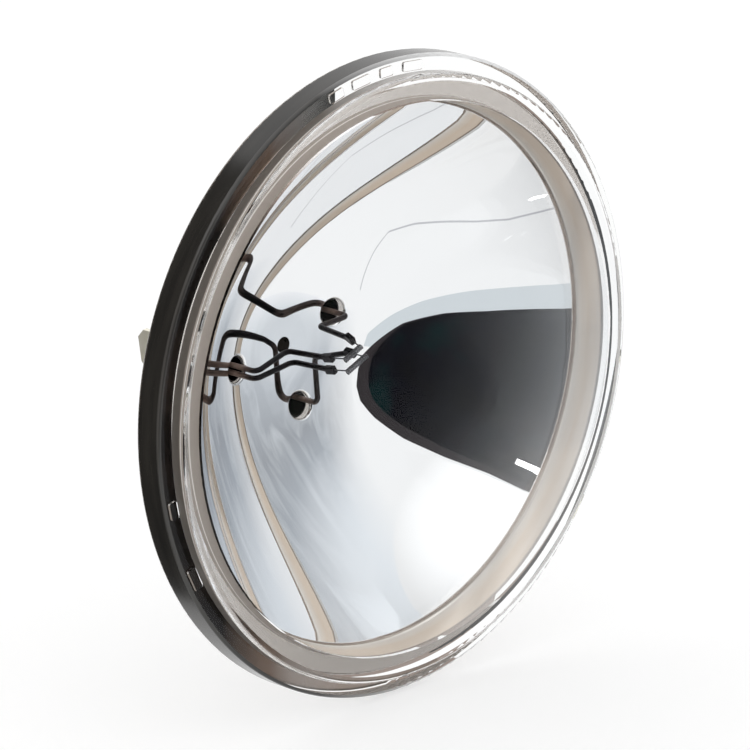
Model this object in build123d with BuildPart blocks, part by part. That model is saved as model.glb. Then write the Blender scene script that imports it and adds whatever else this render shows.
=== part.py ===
from build123d import *
import os
from math import cos, radians, sin, sqrt

os.makedirs("parts", exist_ok=True)

# Sealed-beam reflector lamp, in millimetres.
# The origin is the centre of the rim, the optical axis is Y, the lens faces -Y and +Z is up.

# Rim of the glass bowl, from the middle of its wall
rim_radius = 57.0
rim_front = 2.3
rim_back = 3.5
rim_front_round = 0.6
rim_back_round = 1.1
ledge_width = 3.0
seal_width = 5.6
seat_width = 6.0
seat_round = 1.4

# Bowl: a flat pad round the axis, then a parabola, then a steep collar up to the seal
focal_length = 18.3
pad_radius = 5.0
collar_height = 4.9
collar_draft = 0.6
collar_round = 2.0
bowl_wall = 3.3

# Lens
lens_skirt = 2.4
lens_shoulder = 1.4
lens_shoulder_round = 0.9
lens_dome_radius = 115.0
lens_wall = 3.2
lens_inner_skirt = 0.7

# Raised marks on the ledge of the rim: angle about the axis and length along the rim
mark_places = [(106.5, 3.4), (100.3, 4.2), (94.0, 3.0), (87.5, 4.6), (192.5, 3.2), (207.0, 4.4)]
mark_height = 0.45
mark_inset = 0.35
mark_round = 0.35

# Ferrules, metal cups sealed into the back of the bowl: angle about the axis
ferrule_places = {"left": 189.0, "right": 19.0, "bottom": 286.0}
ferrule_circle = 12.2
ferrule_radius = 2.4
ferrule_wall = 0.35
ferrule_floor = 1.2
ferrule_recess = 0.1
ferrule_projection = 6.6
boss_radius = 4.6
boss_height = 0.5
mouth_round = 0.5

# Exhaust tube, sealed off behind the vertex
exhaust_bore = 1.5
exhaust_wall = 1.1
exhaust_length = 3.6
exhaust_boss_radius = 3.8

# Filament coils: both lie across the axis at one depth, each at its own offset from the axis
filament_wire = 0.24
filament_bead = 0.3
coil_diameter = 1.1
coil_pitch = 0.42
coil_angle = 24.0
coil_depth = 9.2
coil_turns = {"main": 12.5, "second": 10.5}
coil_offset = {"main": 0.4, "second": 2.7}

# Lead wires: each leaves its ferrule, turns in at a bend, turns forward at a knee and ends in a clamp.
# start is the offset inside the ferrule, rise the bend's height over the mirror, outboard how far the
# clamp stands beyond its coil's end, and lean the knee's offset from the clamp. Pairs are in X and Z.
lead_diameter = 1.0
lead_bend = 1.3
leg_length = 3.6
clamp_length = 1.9
clamp_width = 1.5
clamp_thickness = 1.05
clamp_round = 0.25
lead_routes = {
    "left_upper": dict(
        ferrule="left", coil="second", end=-1, start=(-0.1, 0.7), rise=5.2, outboard=0.4, lean=(-1.3, -0.3)
    ),
    "left_lower": dict(
        ferrule="left", coil="main", end=-1, start=(-0.1, -0.7), rise=4.9, outboard=0.4, lean=(-0.2, -0.4)
    ),
    "right": dict(
        ferrule="right", coil="second", end=1, start=(-0.3, 0.1), rise=4.1, outboard=1.0, lean=(2.2, -0.2)
    ),
    "bottom": dict(
        ferrule="bottom", coil="main", end=1, start=(0.2, 1.3), rise=4.3, outboard=-0.4, lean=(0.9, -3.1)
    ),
}

# Contact blades, soldered behind the ferrules
lug_width = 8.0
lug_thickness = 0.9
lug_blade = 11.0
lug_offset = 1.4
lug_foot = 3.2
lug_bend = 0.6
lug_tip_chamfer = 1.6

# Radii and depths that follow from the sizes above
lens_radius = rim_radius - ledge_width
mouth_radius = lens_radius - seal_width
mirror_radius = mouth_radius - collar_draft
mirror_edge = collar_height - rim_front
vertex = mirror_edge + (mirror_radius - pad_radius) ** 2 / (4 * focal_length)
seat_inner = rim_radius - seat_width
outer_vertex = vertex + bowl_wall
outer_focal = (seat_inner - pad_radius) ** 2 / (4 * (outer_vertex - rim_back))


def mirror_depth(radius):
    """Y of the mirror at a distance from the axis."""
    return vertex - max(radius - pad_radius, 0) ** 2 / (4 * focal_length)


def outer_depth(radius):
    """Y of the bowl's outer face at a distance from the axis."""
    return outer_vertex - max(radius - pad_radius, 0) ** 2 / (4 * outer_focal)


def polar(radius, angle, depth=0.0):
    """A point at an angle about the lamp's axis, counted from +X towards +Z."""
    return Vector(radius * cos(radians(angle)), depth, radius * sin(radians(angle)))


def back_plane(depth, centre=Vector(0, 0, 0)):
    """A plane across the lamp's axis that faces back."""
    return Plane(origin=(centre.X, depth, centre.Z), x_dir=(1, 0, 0), z_dir=(0, 1, 0))


ferrule_mouth = mirror_depth(ferrule_circle - ferrule_radius) + mouth_round + ferrule_recess
boss_face = outer_depth(ferrule_circle - boss_radius) + boss_height
ferrule_end = boss_face + ferrule_projection
exhaust_face = outer_vertex + boss_height
ferrules = {side_name: polar(ferrule_circle, angle) for side_name, angle in ferrule_places.items()}

# Bowl: pressed glass with the rim, the bosses for ferrules and exhaust tube, and the marks
with BuildPart() as reflector:
    with BuildSketch(Plane.XY):
        with BuildLine():
            front = Line((0, -rim_front), (rim_radius, -rim_front))
            wall = Line(front @ 1, (rim_radius, rim_back))
            seat = Line(wall @ 1, (seat_inner, rim_back))
            back = Bezier(seat @ 1, ((seat_inner + pad_radius) / 2, outer_vertex), (pad_radius, outer_vertex))
            Polyline(back @ 1, (0, outer_vertex), front @ 0)
        make_face()
    revolve(axis=Axis.Y)
    roundings = [(front @ 1, rim_front_round), (wall @ 1, rim_back_round), (seat @ 1, seat_round)]
    for corner, rounding in roundings:
        rings = reflector.edges().filter_by(GeomType.CIRCLE)
        fillet(rings.sort_by_distance(corner)[0], rounding)
    for centre in ferrules.values():
        with BuildSketch(back_plane(0, centre)):
            Circle(boss_radius)
        extrude(amount=boss_face)
    with BuildSketch(back_plane(0)):
        Circle(exhaust_boss_radius)
    extrude(amount=exhaust_face)
    with BuildSketch(Plane.XY):
        with BuildLine():
            pad = Line((0, vertex), (pad_radius, vertex))
            bowl_bend = ((pad_radius + mirror_radius) / 2, vertex)
            mirror = Bezier(pad @ 1, bowl_bend, (mirror_radius, mirror_edge))
            collar = Line(mirror @ 1, (mouth_radius, -rim_front))
            Polyline(collar @ 1, (0, -rim_front), pad @ 0)
        make_face()
    revolve(axis=Axis.Y, mode=Mode.SUBTRACT)
    rings = reflector.edges().filter_by(GeomType.CIRCLE)
    fillet(rings.sort_by_distance(mirror @ 1)[0], collar_round)
    for centre in ferrules.values():
        with BuildSketch(back_plane(0, centre)):
            Circle(ferrule_radius)
        extrude(amount=ferrule_end, mode=Mode.SUBTRACT)
    with BuildSketch(back_plane(0)):
        Circle(exhaust_bore)
    extrude(amount=exhaust_face, mode=Mode.SUBTRACT)
    for angle in ferrule_places.values():
        mouth = polar(ferrule_circle - ferrule_radius, angle, mirror_depth(ferrule_circle - ferrule_radius))
        fillet(reflector.edges().sort_by_distance(mouth)[0], mouth_round)
    mark_radius = (lens_radius + rim_radius - rim_front_round) / 2
    mark_width = ledge_width - rim_front_round - 2 * mark_inset
    with BuildSketch(Plane(origin=(0, -rim_front, 0), x_dir=(1, 0, 0), z_dir=(0, -1, 0))):
        for angle, length in mark_places:
            middle = polar(mark_radius, angle)
            with Locations(Location((middle.X, middle.Z), angle)):
                RectangleRounded(mark_width, length, mark_round)
    extrude(amount=mark_height)
reflector.part.label = "reflector"
export_step(reflector.part, "parts/reflector.step")

# Lens: clear domed glass on the rim's ledge
shoulder_radius = lens_radius - lens_shoulder
shoulder = -rim_front - lens_skirt
dome_centre = shoulder + sqrt(lens_dome_radius**2 - shoulder_radius**2)
dome_apex = dome_centre - lens_dome_radius
inner_apex = dome_apex + lens_wall
inner_edge = -rim_front - lens_inner_skirt
inner_rise = inner_edge - inner_apex
inner_dome_radius = (mouth_radius**2 + inner_rise**2) / (2 * inner_rise)
with BuildPart() as lens:
    with BuildSketch(Plane.XY):
        with BuildLine():
            seal = Line((mouth_radius, -rim_front), (lens_radius, -rim_front))
            skirt = Line(seal @ 1, (lens_radius, shoulder))
            land = Line(skirt @ 1, (shoulder_radius, shoulder))
            dome = RadiusArc(land @ 1, (0, dome_apex), lens_dome_radius)
            middle_line = Line(dome @ 1, (0, inner_apex))
            under = RadiusArc(middle_line @ 1, (mouth_radius, inner_edge), -inner_dome_radius)
            Line(under @ 1, seal @ 0)
        make_face()
    revolve(axis=Axis.Y)
    rings = lens.edges().filter_by(GeomType.CIRCLE)
    fillet(rings.sort_by_distance(skirt @ 1)[0], lens_shoulder_round)
lens.part.label = "lens"
export_step(lens.part, "parts/lens.step")

# Exhaust tube: a short glass tube behind the vertex, drawn to a closed tip
tube_radius = exhaust_bore + exhaust_wall
with BuildPart() as exhaust_tip:
    with BuildSketch(Plane.XY):
        with BuildLine():
            foot = Line((exhaust_bore, exhaust_face), (tube_radius, exhaust_face))
            side = Line(foot @ 1, (tube_radius, exhaust_face + exhaust_length))
            tip_end = (0, exhaust_face + exhaust_length + tube_radius)
            tip = RadiusArc(side @ 1, tip_end, -tube_radius)
            bore_end = (0, exhaust_face + exhaust_length + exhaust_bore)
            core = Line(tip @ 1, bore_end)
            bore_tip = RadiusArc(core @ 1, (exhaust_bore, exhaust_face + exhaust_length), exhaust_bore)
            Line(bore_tip @ 1, foot @ 0)
        make_face()
    revolve(axis=Axis.Y)
exhaust_tip.part.label = "exhaust_tip"
export_step(exhaust_tip.part, "parts/exhaust_tip.step")

# Ferrules: cups that open into the bowl
for side_name, centre in ferrules.items():
    with BuildPart() as ferrule:
        with BuildSketch(back_plane(ferrule_mouth, centre)):
            Circle(ferrule_radius)
        extrude(amount=ferrule_end - ferrule_mouth)
        with BuildSketch(back_plane(ferrule_mouth, centre)):
            Circle(ferrule_radius - ferrule_wall)
        extrude(amount=ferrule_end - ferrule_floor - ferrule_mouth, mode=Mode.SUBTRACT)
    ferrule.part.label = f"ferrule_{side_name}"
    export_step(ferrule.part, f"parts/ferrule_{side_name}.step")

# Coil ends: the wire's first and last points, on opposite sides of the coil so that both run back
coil_axis = polar(1, coil_angle)
coil_across = polar(1, coil_angle + 90)
coil_radius = (coil_diameter - filament_wire) / 2
coil_middle = {name: Vector(0, coil_depth, 0) + coil_across * coil_offset[name] for name in coil_turns}
coil_length = {name: coil_pitch * turns for name, turns in coil_turns.items()}


def wire_end(coil, end):
    """Where a coil's wire ends: end is -1 for the first turn and 1 for the last."""
    return coil_middle[coil] + coil_axis * (end * coil_length[coil] / 2) - coil_across * (end * coil_radius)


def lead_end(route):
    """The middle of a lead's clamp, behind and beyond its coil's end."""
    reach = route["end"] * (coil_length[route["coil"]] / 2 + route["outboard"])
    return coil_middle[route["coil"]] + coil_axis * reach + Vector(0, leg_length, 0)


def clamp_plane(route):
    """The clamp's middle plane, facing along the filament's leg."""
    place = lead_end(route)
    return Plane(origin=place, x_dir=coil_across, z_dir=wire_end(route["coil"], route["end"]) - place)


# Leads: bent wires from the ferrules' floors to the clamps
for name, route in lead_routes.items():
    foot = ferrules[route["ferrule"]] + Vector(route["start"][0], 0, route["start"][1])
    bend = mirror_depth(ferrule_circle) - route["rise"]
    last = lead_end(route)
    stops = [
        (foot.X, ferrule_end - ferrule_floor, foot.Z),
        (foot.X, bend, foot.Z),
        (last.X + route["lean"][0], bend, last.Z + route["lean"][1]),
        last,
    ]
    with BuildPart() as lead:
        with BuildLine() as wire:
            FilletPolyline(*stops, radius=lead_bend)
        with BuildSketch(back_plane(ferrule_end - ferrule_floor, foot)):
            Circle(lead_diameter / 2)
        sweep(path=wire.wires()[0])
        with BuildSketch(clamp_plane(route).offset(-clamp_length / 2)):
            RectangleRounded(clamp_width, clamp_thickness, clamp_round)
        extrude(amount=clamp_length)
    lead.part.label = f"lead_{name}"
    export_step(lead.part, f"parts/lead_{name}.step")

# Filaments: a coil with a straight leg from each end to its clamp
for coil in coil_turns:
    first_turn = coil_middle[coil] - coil_axis * (coil_length[coil] / 2)
    helix = Plane(origin=first_turn, x_dir=coil_across, z_dir=coil_axis) * Helix(
        coil_pitch, coil_length[coil], coil_radius
    )
    with BuildPart() as filament:
        with BuildLine() as winding:
            add(helix)
        with BuildSketch(Plane(origin=helix @ 0, z_dir=helix % 0)):
            Circle(filament_wire / 2)
        sweep(path=winding.wires()[0], is_frenet=True)
        for route in lead_routes.values():
            if route["coil"] == coil:
                clamp_face = clamp_plane(route).offset(clamp_length / 2)
                leg_end = wire_end(coil, route["end"])
                with BuildSketch(clamp_face):
                    Circle(filament_wire / 2)
                extrude(amount=(leg_end - clamp_face.origin).length)
                with Locations(leg_end):
                    Sphere(filament_bead / 2)
    filament.part.label = f"filament_{coil}"
    export_step(filament.part, f"parts/filament_{coil}.step")

# Contact blades: bent strip on the ferrules' closed ends
for side_name, centre in ferrules.items():
    outward = polar(1, ferrule_places[side_name])
    across = polar(1, ferrule_places[side_name] + 90)
    with BuildPart() as lug:
        with BuildSketch(Plane(origin=(centre.X, ferrule_end, centre.Z), x_dir=outward, z_dir=across)):
            with BuildLine():
                under_foot = Line((-lug_foot, 0), (lug_offset + lug_thickness, 0))
                outer_blade = Line(under_foot @ 1, (lug_offset + lug_thickness, lug_blade))
                Polyline(
                    outer_blade @ 1,
                    (lug_offset, lug_blade),
                    (lug_offset, lug_thickness),
                    (-lug_foot, lug_thickness),
                    under_foot @ 0,
                )
            strip = make_face()
            fillet(strip.vertices().sort_by_distance(Vertex(lug_offset, lug_thickness, 0))[0], lug_bend)
            outer_corner = Vertex(lug_offset + lug_thickness, 0, 0)
            fillet(strip.vertices().sort_by_distance(outer_corner)[0], lug_bend + lug_thickness)
        extrude(amount=lug_width / 2, both=True)
        chamfer(lug.edges().filter_by(Axis((0, 0, 0), outward)).group_by(Axis.Y)[-1], lug_tip_chamfer)
    lug.part.label = f"lug_{side_name}"
    export_step(lug.part, f"parts/lug_{side_name}.step")
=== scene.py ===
import math

import bpy
from mathutils import Matrix, Vector


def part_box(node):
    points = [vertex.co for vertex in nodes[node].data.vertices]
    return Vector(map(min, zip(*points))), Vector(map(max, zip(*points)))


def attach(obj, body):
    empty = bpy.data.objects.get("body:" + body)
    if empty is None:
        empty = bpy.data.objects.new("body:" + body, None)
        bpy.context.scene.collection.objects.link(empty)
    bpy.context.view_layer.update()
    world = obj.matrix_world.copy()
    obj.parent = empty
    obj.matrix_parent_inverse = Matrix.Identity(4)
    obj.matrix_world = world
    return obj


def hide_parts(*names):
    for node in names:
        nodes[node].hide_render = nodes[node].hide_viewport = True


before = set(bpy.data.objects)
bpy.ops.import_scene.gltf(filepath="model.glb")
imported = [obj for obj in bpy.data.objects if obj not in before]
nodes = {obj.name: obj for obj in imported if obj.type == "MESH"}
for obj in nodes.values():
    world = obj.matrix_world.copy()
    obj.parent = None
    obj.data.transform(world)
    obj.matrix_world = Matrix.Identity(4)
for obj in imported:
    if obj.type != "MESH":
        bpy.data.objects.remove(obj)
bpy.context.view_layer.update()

scene = bpy.context.scene
MM = 0.001

# Sizes of the glass that the finishes follow, in millimetres, as in the part's source
RIM_RADIUS = 57.0
RIM_FRONT_ROUND = 0.6
SEAT_START_RADIUS = 49.0
LENS_RADIUS = 54.0
SEAL_Y = -2.3
LENS_DOME_RADIUS = 115.0
LENS_WALL = 3.2
LENS_INNER_SKIRT = 0.7
MOUTH_RADIUS = 48.4
MIRROR_RADIUS = 47.8
MIRROR_EDGE_Y = 2.6
BLEND_START_RADIUS = 47.3
PAD_RADIUS = 5.0
FOCAL_LENGTH = 18.3
VERTEX_Y = MIRROR_EDGE_Y + (MIRROR_RADIUS - PAD_RADIUS) ** 2 / (4 * FOCAL_LENGTH)
FERRULE_CIRCLE = 12.2
FERRULE_ANGLES = (189.0, 19.0, 286.0)
FERRULE_RADIUS = 2.4
MOUTH_ROUND = 0.5
EXHAUST_BORE = 1.5

# Where the film's brown end line stops, and between which X the edges go from painted shade on the left to
# painted pale light on the right
FILM_END_Y = 3.2
PAINTED_SHADE_LEFT_X = -20.0
PAINTED_LIGHT_RIGHT_X = 12.0

# Values that several glass finishes share
GLASS_IOR = 1.48
FAINT_SHINE = (0.2, 0.2, 0.2, 1)
CLEAR = (0.97, 0.97, 0.97)
GREENISH_CLEAR = (0.97, 0.98, 0.975)
WHITE_CLEAR = (0.995, 0.995, 0.99)


# Node helpers


class Shader:
    """A material with a Principled BSDF, and short calls that add and join nodes."""

    def __init__(self, name):
        self.material = bpy.data.materials.new(name)
        self.material.use_nodes = True
        self.tree = self.material.node_tree
        self.bsdf = self.tree.nodes["Principled BSDF"]
        self.coords = self.tree.nodes.new("ShaderNodeTexCoord").outputs["Object"]

    def set(self, **values):
        for key, value in values.items():
            self.bsdf.inputs[key.replace("_", " ")].default_value = value
        return self

    def join(self, source, target):
        self.tree.links.new(source, target)

    def into(self, key, source):
        self.join(source, self.bsdf.inputs[key])

    def noise(self, scale, detail=3.0, stretch=(1, 1, 1), roughness=0.5, distortion=0.0):
        mapping = self.tree.nodes.new("ShaderNodeMapping")
        mapping.inputs["Scale"].default_value = stretch
        self.join(self.coords, mapping.inputs["Vector"])
        texture = self.tree.nodes.new("ShaderNodeTexNoise")
        texture.inputs["Scale"].default_value = scale
        texture.inputs["Detail"].default_value = detail
        texture.inputs["Roughness"].default_value = roughness
        texture.inputs["Distortion"].default_value = distortion
        self.join(mapping.outputs["Vector"], texture.inputs["Vector"])
        return texture.outputs["Fac"]

    def axis(self, letter):
        split = self.tree.nodes.new("ShaderNodeSeparateXYZ")
        self.join(self.coords, split.inputs["Vector"])
        return split.outputs[letter]

    def radius(self):
        """Distance from the lamp's axis."""
        x = self.axis("X")
        z = self.axis("Z")
        squares = self.math("ADD", self.math("MULTIPLY", x, x), self.math("MULTIPLY", z, z))
        return self.math("SQRT", squares)

    def math(self, operation, a, b=0.0):
        node = self.tree.nodes.new("ShaderNodeMath")
        node.operation = operation
        for socket, value in zip(node.inputs, (a, b)):
            if isinstance(value, (int, float)):
                socket.default_value = value
            else:
                self.join(value, socket)
        return node.outputs[0]

    def span(self, value, low, high, to_low=0.0, to_high=1.0):
        """The value moved from one range to another, and held within it."""
        node = self.tree.nodes.new("ShaderNodeMapRange")
        self.join(value, node.inputs["Value"])
        node.inputs["From Min"].default_value = low
        node.inputs["From Max"].default_value = high
        node.inputs["To Min"].default_value = to_low
        node.inputs["To Max"].default_value = to_high
        return node.outputs["Result"]

    def ramp(self, value, stops):
        node = self.tree.nodes.new("ShaderNodeValToRGB")
        elements = node.color_ramp.elements
        while len(elements) < len(stops):
            elements.new(0.5)
        for element, (place, colour) in zip(elements, stops):
            element.position = place
            element.color = (*colour, 1.0)
        self.join(value, node.inputs["Fac"])
        return node.outputs["Color"]

    def mix(self, factor, a, b):
        node = self.tree.nodes.new("ShaderNodeMix")
        node.data_type = "RGBA"
        for socket, value in zip((node.inputs[0], node.inputs[6], node.inputs[7]), (factor, a, b)):
            if isinstance(value, tuple):
                socket.default_value = (*value, 1.0)
            else:
                self.join(value, socket)
        return node.outputs[2]

    def inside(self):
        """1 where a face is seen from within the glass, 0 where it is seen from outside."""
        return self.tree.nodes.new("ShaderNodeNewGeometry").outputs["Backfacing"]

    def painted_light_side(self):
        """0 on the left side of an edge, where shade is painted, 1 on its right side, where pale light is
        painted.
        """
        return self.span(self.axis("X"), PAINTED_SHADE_LEFT_X * MM, PAINTED_LIGHT_RIGHT_X * MM)

    def let_light_in(self):
        """Lets the soft light of the room through to the faces within the glass."""
        soft = self.tree.nodes.new("ShaderNodeLightPath").outputs["Is Diffuse Ray"]
        self.into("Alpha", self.math("SUBTRACT", 1.0, soft))

    def bump(self, height, depth_mm):
        node = self.tree.nodes.new("ShaderNodeBump")
        node.inputs["Strength"].default_value = 1.0
        node.inputs["Distance"].default_value = depth_mm * MM
        self.join(height, node.inputs["Height"])
        self.into("Normal", node.outputs["Normal"])


# Finishes


def film_finish():
    """The mirror film, which ends in a brown line, and the beige, less shiny collar beyond it."""
    s = Shader("aluminium_film")
    brown = (0.20, 0.14, 0.10)
    beige = (0.92, 0.77, 0.62)
    cream = (0.98, 0.93, 0.86)
    silver = (0.885, 0.89, 0.90)
    height = s.axis("Y")
    depth = s.span(height, SEAL_Y * MM, FILM_END_Y * MM)
    front_stops = [
        (0.0, brown), (0.04, brown), (0.09, beige), (0.45, beige), (0.80, cream),
        (0.83, cream), (0.87, brown), (0.94, brown), (0.98, silver),
    ]
    collar = s.span(height, 3.0 * MM, 2.6 * MM)
    streaks = s.span(s.noise(60, 3, (1, 22, 1)), 0.35, 0.65, 0.0, 0.4)
    patches = s.span(s.noise(90, 4), 0.3, 0.7, 1.0, 0.5)
    pale = s.math("MULTIPLY", collar, s.math("MULTIPLY", streaks, patches))
    front = s.mix(pale, s.ramp(depth, front_stops), cream)
    inside = s.inside()
    grey = (0.38, 0.33, 0.29)
    pale_grey = (0.82, 0.79, 0.76)
    back_stops = [
        (0.0, grey), (0.55, grey), (0.58, pale_grey), (0.62, pale_grey), (0.65, grey),
        (0.90, grey), (1.0, pale_grey),
    ]
    s.into("Base Color", s.mix(inside, front, s.ramp(depth, back_stops)))
    collar_shine = s.math("SUBTRACT", 1.0, s.math("MULTIPLY", collar, 0.75))
    back_shine = s.math("SUBTRACT", 1.0, s.math("MULTIPLY", inside, 0.4))
    s.into("Metallic", s.math("MULTIPLY", collar_shine, back_shine))
    fine = s.span(s.noise(240, 3), 0.3, 0.7, 0.004, 0.014)
    matt = s.math("ADD", s.math("MULTIPLY", collar, 0.16), s.math("MULTIPLY", inside, 0.22))
    s.into("Roughness", s.math("ADD", fine, matt))
    s.bump(s.noise(30, 1), 0.004)
    return s.material


def wall_finish():
    """Clear glass whose outside face is painted dark with shade and dark reflections; rays within the glass
    meet a clear face.
    """
    s = Shader("painted_dark_rim").set(IOR=GLASS_IOR)
    inside = s.inside()
    streaks = s.noise(40, 4, (1, 8, 1))
    # Painted shade: this dark streaked colour on the outside face stands in for the shade and dark
    # reflections that the clear rim shows
    painted_shade = s.ramp(streaks, [(0.3, (0.010, 0.009, 0.008)), (0.7, (0.028, 0.025, 0.021))])
    s.into("Base Color", s.mix(inside, painted_shade, CLEAR))
    s.into("Transmission Weight", inside)
    satin = s.span(streaks, 0.3, 0.7, 0.14, 0.22)
    s.into("Roughness", s.math("MULTIPLY", satin, s.math("SUBTRACT", 1.0, inside)))
    s.let_light_in()
    return s.material


def edge_finish():
    """The rim's front round, with shade painted dark on the left that turns to painted pale light towards the
    right.
    """
    s = Shader("rim_edge").set(IOR=GLASS_IOR, Roughness=0.1)
    inside = s.inside()
    streaks = s.noise(40, 4, (1, 8, 1))
    painted_shade = s.ramp(streaks, [(0.3, (0.03, 0.028, 0.026)), (0.7, (0.06, 0.057, 0.053))])
    # Painted shade on the left and painted light, the pale grey, on the right, set by X
    shade = s.mix(s.painted_light_side(), painted_shade, (0.90, 0.90, 0.90))
    s.into("Base Color", s.mix(inside, shade, CLEAR))
    s.into("Transmission Weight", inside)
    return s.material


def clear_glass(name):
    """Clear pressed glass with a faint, uneven tint."""
    s = Shader(name).set(Transmission_Weight=1.0, IOR=GLASS_IOR, Roughness=0.0, Specular_Tint=FAINT_SHINE)
    s.into("Base Color", s.ramp(s.noise(70, 3), [(0.3, GREENISH_CLEAR), (0.7, WHITE_CLEAR)]))
    return s


def rim_glass_finish():
    s = clear_glass("pressed_glass")
    s.let_light_in()
    return s.material


def front_finish():
    """The rim's front face: clear glass outside the lens, and no face where the lens is fused to it."""
    s = clear_glass("rim_front")
    s.into("Alpha", s.math("GREATER_THAN", s.radius(), LENS_RADIUS * MM))
    return s.material


def seat_finish():
    """The rim's back face, with shade painted dark on the left, then a painted brown shade, and clear towards
    the right.
    """
    s = Shader("rim_seat").set(IOR=GLASS_IOR, Roughness=0.0, Specular_Tint=FAINT_SHINE)
    painted_shade = (0.012, 0.010, 0.009)
    brown = (0.24, 0.17, 0.13)
    # Painted shade: dark on the left, brown further right, and clear glass towards the right, set by X alone
    clear = s.span(s.axis("X"), -40.0 * MM, -12.0 * MM)
    patchy = s.math("ADD", clear, s.span(s.noise(70, 3), 0.3, 0.7, -0.04, 0.04))
    s.into("Base Color", s.ramp(patchy, [(0.0, painted_shade), (0.4, brown), (0.95, GREENISH_CLEAR)]))
    s.into("Transmission Weight", clear)
    s.let_light_in()
    return s.material


def tip_finish():
    """The drawn end of the exhaust tube, painted dark for the shade in the hole at the mirror's vertex."""
    s = Shader("drawn_tip").set(IOR=GLASS_IOR, Coat_Weight=1.0, Coat_Roughness=0.02)
    # Painted shade: these near-black specks stand in for the dark hole the tip sits in
    specks = [(0.35, (0.006, 0.006, 0.007)), (0.65, (0.05, 0.05, 0.055))]
    s.into("Base Color", s.ramp(s.noise(700, 3), specks))
    s.into("Roughness", s.span(s.noise(500, 2), 0.3, 0.7, 0.05, 0.2))
    return s.material


def lens_glass_finish():
    """Polished clear glass with faint waves."""
    s = Shader("lens_glass").set(Transmission_Weight=1.0, IOR=GLASS_IOR)
    s.set(Base_Color=(0.985, 0.99, 0.99, 1), Specular_Tint=(0.04, 0.04, 0.04, 1))
    s.into("Roughness", s.span(s.noise(180, 3), 0.45, 0.8, 0.0, 0.006))
    s.bump(s.noise(34, 1), 0.004)
    s.let_light_in()
    return s.material


def ground_finish():
    """The lens's side wall, ground to a satin face, with shade painted dark on the left that turns to painted
    pale light towards the right.
    """
    s = Shader("ground_edge").set(Roughness=0.35)
    grain = s.ramp(s.noise(300, 3), [(0.3, (0.82, 0.82, 0.81)), (0.7, (0.92, 0.92, 0.91))])
    # Painted shade on the left, the dark brown, and painted light on the right, the pale grain, set by X
    s.into("Base Color", s.mix(s.painted_light_side(), (0.12, 0.105, 0.09), grain))
    return s.material


def joint_finish():
    """The ring where the lens is fused to the rim, which no longer shows as a face."""
    return Shader("fused_joint").set(Alpha=0.0, Base_Color=(0.97, 0.98, 0.98, 1)).material


def ferrule_finish():
    s = Shader("oxidised_ferrule").set(Metallic=1.0)
    grain = s.noise(900, 4, (1, 6, 1))
    s.into("Base Color", s.ramp(grain, [(0.3, (0.012, 0.011, 0.012)), (0.7, (0.06, 0.055, 0.055))]))
    s.into("Roughness", s.span(grain, 0.3, 0.7, 0.3, 0.5))
    s.bump(grain, 0.01)
    return s.material


def lead_finish():
    """Brown wire that turns black towards the coils."""
    s = Shader("brown_to_black_wire").set(Metallic=0.5)
    patches = s.noise(420, 4)
    browns = [(0.3, (0.13, 0.085, 0.07)), (0.55, (0.27, 0.19, 0.155)), (0.75, (0.42, 0.32, 0.27))]
    forward = s.span(s.axis("Y"), 26.0 * MM, 22.0 * MM)
    s.into("Base Color", s.mix(forward, s.ramp(patches, browns), (0.010, 0.008, 0.010)))
    s.into("Roughness", s.span(patches, 0.3, 0.7, 0.28, 0.5))
    s.bump(s.noise(1500, 3), 0.01)
    return s.material


def filament_finish():
    s = Shader("drawn_tungsten").set(Metallic=1.0)
    grain = s.noise(3000, 3)
    s.into("Base Color", s.ramp(grain, [(0.3, (0.10, 0.10, 0.11)), (0.7, (0.34, 0.34, 0.36))]))
    s.into("Roughness", s.span(grain, 0.3, 0.7, 0.25, 0.4))
    return s.material


def contact_finish():
    s = Shader("tinned_contact").set(Metallic=0.55)
    blotches = [(0.3, (0.80, 0.75, 0.60)), (0.7, (0.92, 0.89, 0.78))]
    s.into("Base Color", s.ramp(s.noise(260, 4), blotches))
    scratches = s.noise(500, 3, (1, 0.06, 1))
    s.into("Roughness", s.span(scratches, 0.3, 0.7, 0.22, 0.42))
    s.bump(scratches, 0.008)
    return s.material


# Pieces

# For telling faces apart: distances in millimetres, and shares of a face's normal along the axis
ON_FACE = 0.02
NEAR_EDGE = 0.05
NEAR_WALL = 0.1
NEAR_MIRROR = 0.12
MOUTH_DEPTH = 1.2
UPRIGHT = 0.05
STEEP = 0.3
FACING = 0.9

GLASS, FILM, FRONT, WALL, EDGE, SEAT = range(6)
LENS_CLEAR, LENS_JOINT, LENS_GROUND = range(3)


def copy_of(node_name, piece_name, materials, zone_of, normal_of):
    """A piece with the node's own mesh, whose faces get a finish and a true normal by where they lie."""
    mesh = nodes[node_name].data.copy()
    mesh.materials.clear()
    for material in materials:
        mesh.materials.append(material)
    for face in mesh.polygons:
        face.material_index = zone_of(face)
    normals = [corner.vector.copy() for corner in mesh.corner_normals]
    for face in mesh.polygons:
        for index in face.loop_indices:
            point = mesh.vertices[mesh.loops[index].vertex_index].co / MM
            normals[index] = normal_of(face, point) or normals[index]
    mesh.normals_split_custom_set(normals)
    piece = bpy.data.objects.new(piece_name, mesh)
    scene.collection.objects.link(piece)
    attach(piece, "root")
    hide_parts(node_name)


def mirror_depth(radius):
    return VERTEX_Y - max(radius - PAD_RADIUS, 0.0) ** 2 / (4 * FOCAL_LENGTH)


def ferrule_distance(x, z):
    """Distance to the axis of the nearest ferrule."""
    distances = []
    for angle in FERRULE_ANGLES:
        turn = math.radians(angle)
        distances.append(math.hypot(x - FERRULE_CIRCLE * math.cos(turn), z - FERRULE_CIRCLE * math.sin(turn)))
    return min(distances)


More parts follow.
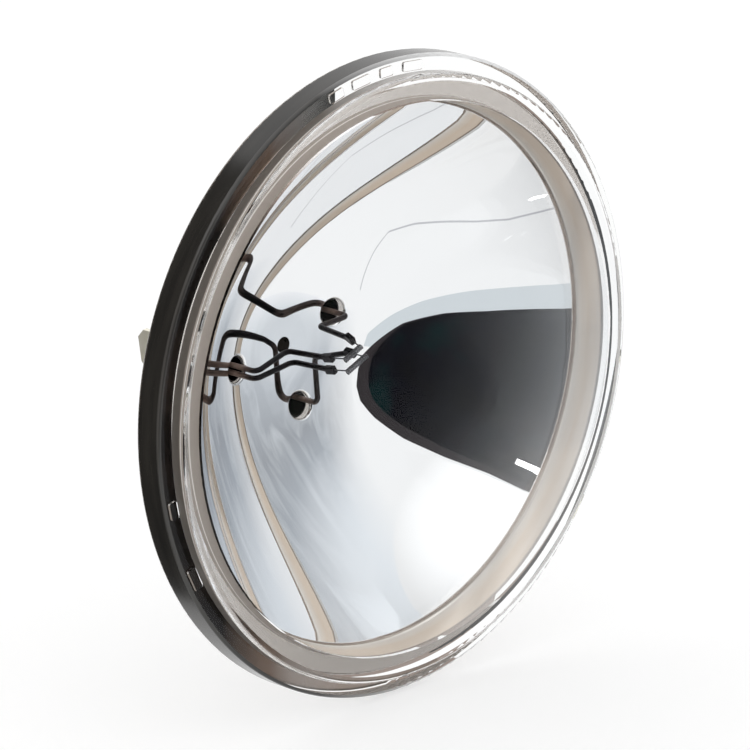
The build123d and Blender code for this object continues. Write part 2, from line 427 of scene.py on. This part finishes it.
def bowl_zone(face):
    x, y, z = face.center / MM
    radius = math.hypot(x, z)
    along = face.normal.y
    at_rim = radius > RIM_RADIUS - RIM_FRONT_ROUND
    if abs(y - SEAL_Y) < ON_FACE:
        return FRONT
    if at_rim and abs(along) < UPRIGHT:
        return WALL
    if at_rim and y < 0:
        return EDGE
    if radius < EXHAUST_BORE + NEAR_EDGE and abs(along) < STEEP:
        return WALL
    if radius < MOUTH_RADIUS + NEAR_EDGE and y < mirror_depth(radius) + NEAR_MIRROR:
        return FILM
    if radius > SEAT_START_RADIUS and along > FACING:
        return SEAT
    at_ferrule = ferrule_distance(x, z) < FERRULE_RADIUS + MOUTH_ROUND + NEAR_WALL
    if at_ferrule and y < mirror_depth(radius) + MOUTH_DEPTH and along < -UPRIGHT:
        return FILM
    return GLASS


def bowl_normal(face, point):
    """The true normal of faces on the rim's wall or on the mirror."""
    radius = math.hypot(point.x, point.z)
    if face.material_index == WALL and radius > RIM_RADIUS - RIM_FRONT_ROUND:
        return Vector((point.x, 0, point.z)).normalized()
    if face.material_index != FILM or radius > BLEND_START_RADIUS:
        return None
    if abs(point.y - mirror_depth(radius)) > ON_FACE:
        return None
    slope = max(radius - PAD_RADIUS, 0.0) / (2 * FOCAL_LENGTH * max(radius, PAD_RADIUS))
    return Vector((-slope * point.x, -1, -slope * point.z)).normalized()


def sphere_under(apex, edge_radius, edge):
    """Radius of the dome that passes an apex and a ring, all along the axis."""
    rise = edge - apex
    return (edge_radius**2 + rise**2) / (2 * rise)


lens_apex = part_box("lens")[0][1] / MM
inner_apex = lens_apex + LENS_WALL
inner_dome_radius = sphere_under(inner_apex, MOUTH_RADIUS, SEAL_Y - LENS_INNER_SKIRT)
lens_domes = [
    (Vector((0, lens_apex + LENS_DOME_RADIUS, 0)), LENS_DOME_RADIUS, 1),
    (Vector((0, inner_apex + inner_dome_radius, 0)), inner_dome_radius, -1),
]


def lens_zone(face):
    x, y, z = face.center / MM
    if abs(y - SEAL_Y) < ON_FACE:
        return LENS_JOINT
    if math.hypot(x, z) > LENS_RADIUS - NEAR_WALL and abs(face.normal.y) < STEEP:
        return LENS_GROUND
    return LENS_CLEAR


def lens_normal(face, point):
    """The true normal of faces on the lens's side wall or on its outer or inner dome."""
    if math.hypot(point.x, point.z) > LENS_RADIUS - ON_FACE and abs(face.normal.y) < UPRIGHT:
        return Vector((point.x, 0, point.z)).normalized()
    for centre, radius, side in lens_domes:
        ray = point - centre
        if abs(ray.length - radius) < ON_FACE and face.normal.dot(ray) * side > FACING * radius:
            return ray.normalized() * side
    return None


bowl_finishes = [
    rim_glass_finish(),
    film_finish(),
    front_finish(),
    wall_finish(),
    edge_finish(),
    seat_finish(),
]
copy_of("reflector", "bowl", bowl_finishes, bowl_zone, bowl_normal)
lens_finishes = [lens_glass_finish(), joint_finish(), ground_finish()]
copy_of("lens", "front_glass", lens_finishes, lens_zone, lens_normal)

# The other nodes keep their own form and get a better finish
node_finishes = {
    "lead_": lead_finish(),
    "ferrule_": ferrule_finish(),
    "filament_": filament_finish(),
    "lug_": contact_finish(),
    "exhaust_tip": tip_finish(),
}
for name in nodes:
    for start, material in node_finishes.items():
        if name.startswith(start):
            nodes[name].material_slots[0].link = "OBJECT"
            nodes[name].material_slots[0].material = material


def direction(azimuth, elevation):
    """A direction from the lamp: azimuth 0 is straight in front, towards -Y, and grows towards +X."""
    a = math.radians(azimuth)
    e = math.radians(elevation)
    return Vector((math.sin(a) * math.cos(e), -math.cos(a) * math.cos(e), math.sin(e)))


# Camera at the photograph's place
CAMERA_AZIMUTH = -44.73
CAMERA_ELEVATION = 16.33
CAMERA_DISTANCE = 1.0
IMAGE_SIZE = 750
PIXELS_PER_MM = 5.770
RIM_CENTRE_PIXEL = (391.5, 375.6)
SENSOR_WIDTH = 36.0

backward = direction(CAMERA_AZIMUTH, CAMERA_ELEVATION)
right = Vector((0, 0, 1)).cross(backward).normalized()
up = backward.cross(right)
focal_pixels = PIXELS_PER_MM * CAMERA_DISTANCE / MM
aside = (RIM_CENTRE_PIXEL[0] - IMAGE_SIZE / 2) * CAMERA_DISTANCE / focal_pixels
below = (RIM_CENTRE_PIXEL[1] - IMAGE_SIZE / 2) * CAMERA_DISTANCE / focal_pixels
place = backward * CAMERA_DISTANCE - right * aside + up * below
camera_data = bpy.data.cameras.new("camera")
camera_data.sensor_width = SENSOR_WIDTH
camera_data.lens = SENSOR_WIDTH * focal_pixels / IMAGE_SIZE
camera_data.clip_end = 50.0
camera = bpy.data.objects.new("camera", camera_data)
scene.collection.objects.link(camera)
turned = Matrix((right, up, backward)).transposed().to_4x4()
camera.matrix_world = Matrix.Translation(place) @ turned
scene.camera = camera


def behind(pixel, distance):
    """A point on the camera's ray through a pixel of the photograph."""
    across = (pixel[0] - IMAGE_SIZE / 2) / focal_pixels
    down = (pixel[1] - IMAGE_SIZE / 2) / focal_pixels
    return place + (right * across - up * down - backward) * distance


# Studio: a white world, a white floor, and panels that only glass and metal show


def shining(name):
    """The start of a finish that only shines."""
    s = Shader(name).set(Base_Color=(0, 0, 0, 1), Specular_IOR_Level=0.0, Roughness=1.0)
    return s.set(Emission_Color=(1.0, 1.0, 1.0, 1.0), Emission_Strength=1.0)


def glow(name, colour, strength=1.0):
    """A finish that shines in one even colour."""
    return shining(name).set(Emission_Color=(*colour, 1.0), Emission_Strength=strength).material


def cloth_glow():
    """Grey folded cloth, which fades to white at its lower, upper and left ends."""
    s = shining("side_cloth")
    height = s.span(s.axis("Z"), -0.6, 1.1)
    fade = [
        (0.0, (1.0, 1.0, 1.02)), (0.1, (0.76, 0.79, 0.82)), (0.2, (0.54, 0.57, 0.61)),
        (0.45, (0.38, 0.40, 0.43)), (0.6, (0.44, 0.47, 0.51)), (0.66, (0.56, 0.59, 0.63)),
        (0.82, (0.82, 0.86, 0.90)), (1.0, (0.96, 1.0, 1.04)),
    ]
    folds = s.noise(5.0, 5, (1.0, 1.0, 0.22), 0.6, 1.2)
    lit_folds = s.span(folds, 0.45, 0.75, 0.0, 0.45)
    cloth = s.mix(lit_folds, s.ramp(height, fade), (0.92, 0.96, 1.0))
    left_end = s.span(s.axis("X"), 0.62, 0.26)
    s.into("Emission Color", s.mix(left_end, cloth, (1.04, 1.04, 1.04)))
    return s.material


def top_glow():
    """White cloth overhead, brighter away from its slanting lower edge."""
    s = shining("top_cloth")
    above = s.math("SUBTRACT", s.axis("Z"), s.math("MULTIPLY", s.axis("X"), 0.44))
    s.into("Emission Strength", s.span(above, 0.75, 1.0, 1.02, 1.5))
    return s.material


def room_glow():
    """A nearly black room with blots of blue and green."""
    s = shining("dark_room")
    tints = [
        (0.35, (0.0012, 0.0008, 0.0012)),
        (0.55, (0.0020, 0.0020, 0.0045)),
        (0.7, (0.002, 0.012, 0.013)),
    ]
    s.into("Emission Color", s.ramp(s.noise(3.0, 2), tints))
    return s.material


def shaded_glow():
    """A black card that turns brown towards its foot, a painted shade standing in for the shade behind the
    lamp.
    """
    s = shining("flag_black")
    shades = [(0.0, (0.26, 0.21, 0.18)), (0.5, (0.10, 0.085, 0.07)), (1.0, (0.010, 0.010, 0.008))]
    s.into("Emission Color", s.ramp(s.span(s.axis("Z"), -0.104, -0.074), shades))
    return s.material


def panel(name, corners, material, glossy=True, transmission=True, domed=True):
    """A panel that only reflections, or what is seen through glass, can show."""
    middle = sum(corners, Vector()) / len(corners)
    if domed:
        middle *= corners[0].length / middle.length
    count = len(corners)
    faces = [(0, 1 + i, 1 + (i + 1) % count) for i in range(count)]
    mesh = bpy.data.meshes.new(name)
    mesh.from_pydata([tuple(v) for v in [middle] + corners], [], faces)
    mesh.materials.append(material)
    piece = bpy.data.objects.new(name, mesh)
    scene.collection.objects.link(piece)
    piece.visible_camera = False
    piece.visible_diffuse = False
    piece.visible_shadow = False
    piece.visible_glossy = glossy
    piece.visible_transmission = transmission


def around(outline, distance):
    """Corners of a panel, from their azimuths and elevations and one distance in metres."""
    return [direction(*corner) * distance for corner in outline]


OPENING = [
    (-52, 20), (-43, 25), (-37, 31), (-32, 35), (-29, 35.7), (-24.6, 33.6), (-15.6, 30.4),
    (-4.6, 24.1), (4, 15.6), (8.8, 8.3), (10.1, 2.7), (9.2, -2.9), (6.5, -7.7), (1.9, -10.4),
    (-9.5, -16.4), (-23, -19.2), (-33, -19.4), (-52, -20),
]
panel("opening_edge", around(OPENING, 1.2), glow("opening_frame", (0.035, 0.030, 0.032)))

INNER_OPENING = [
    (-52, 20), (-43, 25), (-37, 30.5), (-31.3, 34.2), (-29.5, 33.7), (-25.6, 31.7), (-16.9, 27.6),
    (-6.1, 20.2), (0.1, 14), (3.4, 9), (4.6, 4.1), (4.4, -1.1), (2.6, -6), (-1.7, -10.3),
    (-9.8, -15.8), (-23, -19), (-33, -19.3), (-52, -20),
]
panel("opening", around(INNER_OPENING, 1.1), room_glow())

SIDE_OPENING = [
    (-52, 26), (-52, -21), (-64, -24), (-90, -24), (-120, -20), (-120, 40), (-90, 42), (-64, 34),
]
panel("side_opening", around(SIDE_OPENING, 1.15), glow("side_room", (0.74, 0.69, 0.64)))

RIGHT_WALL = [
    (4, -12), (12, -2), (12, 6), (8, 16), (0, 24), (-2, 31), (11, 42), (28, 48), (49, 52), (80, 50),
    (105, 40), (105, -22), (70, -25), (40, -25), (14, -22),
]
panel("right_wall", around(RIGHT_WALL, 1.4), cloth_glow())

TOP = [
    (-60, 24), (-47, 23), (-40, 29), (-32, 35.8), (-29, 36.2), (-22, 33.6), (-11.6, 29.8),
    (-2.6, 28), (-1.5, 34), (11, 40.8), (28.5, 46.4), (41.6, 48.8), (60, 51), (90, 50), (130, 48),
    (180, 48), (-140, 45), (-95, 34),
]
panel("top_light", around(TOP, 1.3), top_glow())

BAND = [
    (-47, -19), (-33, -19), (-23, -18.8), (-9.5, -16), (1.8, -9), (7, -10), (5.5, -14), (-5, -20),
    (-15.7, -24.4), (-27.4, -26.9), (-36, -27.6), (-47, -28),
]
panel("step", around(BAND, 1.25), glow("step_cloth", (0.72, 0.77, 0.80)))

FOLD = [
    (12.4, -28.8), (13.1, -43.6), (12.8, -50.3), (3.2, -53.3), (-9.7, -53.6), (-21, -52.5),
    (-29, -51.8), (-34, -52.9), (-36.5, -52.2), (-40, -46), (-47, -42),
]
FOLD_WIDTH = (0.5, -0.7)
fold_shade = glow("fold_shade", (0.62, 0.62, 0.65))
for start, end in zip(FOLD, FOLD[1:]):
    far_end = (end[0] + FOLD_WIDTH[0], end[1] + FOLD_WIDTH[1])
    far_start = (start[0] + FOLD_WIDTH[0], start[1] + FOLD_WIDTH[1])
    panel("cloth_fold", around([start, end, far_end, far_start], 1.25), fold_shade)

SPOTS = [
    [(-31.9, 27.7), (-30.9, 29.2), (-31.5, 29.6), (-32.5, 28.0)],
    [(-27.1, -57.9), (-27.0, -58.6), (-27.8, -58.2), (-28.0, -57.4)],
]
lamp_white = glow("lamp_white", (1.0, 1.0, 1.0), 4.0)
for spot in SPOTS:
    panel("lamp_spot", around(spot, 0.95), lamp_white)

# Dark sheets that only reflections and the glass show: painted shade standing in for the shade behind and
# below the lamp
BACK_LEFT = [(-95, 30), (-95, -50), (-135, -50), (-175, -50), (-175, 44), (-155, 50), (-130, 40)]
flag_grey = glow("flag_grey", (0.08, 0.08, 0.08))
panel("back_left_flag", around(BACK_LEFT, 1.2), flag_grey, transmission=False)

BACK_RIGHT = [(95, 4), (95, 32), (135, 36), (175, 32), (175, 4), (135, 2)]
BOTTOM = [(125, -21), (148, -21), (148, -38), (125, -38)]
flag_brown = glow("flag_brown", (0.30, 0.24, 0.21))
panel("back_right_flag", around(BACK_RIGHT, 1.3), flag_brown, glossy=False)
panel("bottom_flag", around(BOTTOM, 0.2), flag_brown, glossy=False)

# The left flag stands behind the lamp, along the left of the picture, as painted shade seen through the glass
LEFT_PIXELS = [
    (60, 60), (325, 40), (325, 120), (250, 250), (225, 500), (325, 640), (440, 680), (440, 760), (60, 760),
]
LEFT_DISTANCE = 1.16
left_corners = [behind(pixel, LEFT_DISTANCE) for pixel in LEFT_PIXELS]
panel("left_flag", left_corners, shaded_glow(), glossy=False, domed=False)

FLOOR_REACH = 6.0
FLOOR_GREY = (0.5, 0.5, 0.5, 1)
FLOOR_GLOW = 0.52
floor_corners = [
    (-FLOOR_REACH, -FLOOR_REACH, 0),
    (FLOOR_REACH, -FLOOR_REACH, 0),
    (FLOOR_REACH, FLOOR_REACH, 0),
    (-FLOOR_REACH, FLOOR_REACH, 0),
]
floor_mesh = bpy.data.meshes.new("floor")
floor_mesh.from_pydata(floor_corners, [], [(0, 1, 2, 3)])
floor = bpy.data.objects.new("floor", floor_mesh)
scene.collection.objects.link(floor)
floor.location.z = -RIM_RADIUS * MM
floor.visible_glossy = False
floor.visible_transmission = False
paper = Shader("floor_paper").set(Roughness=0.9, Specular_IOR_Level=0.0, Base_Color=FLOOR_GREY)
paper.set(Emission_Color=(1.0, 1.0, 1.0, 1.0))
seen = paper.tree.nodes.new("ShaderNodeLightPath").outputs["Is Camera Ray"]
paper.into("Emission Strength", paper.math("MULTIPLY", seen, FLOOR_GLOW))
floor_mesh.materials.append(paper.material)

world = bpy.data.worlds.new("studio")
scene.world = world
world.use_nodes = True
background = world.node_tree.nodes["Background"]
background.inputs["Color"].default_value = (1.0, 1.0, 1.0, 1)
background.inputs["Strength"].default_value = 1.04

scene.view_settings.view_transform = "Standard"
scene.cycles.max_bounces = 32
scene.cycles.glossy_bounces = 16
scene.cycles.transmission_bounces = 24
scene.cycles.transparent_max_bounces = 16
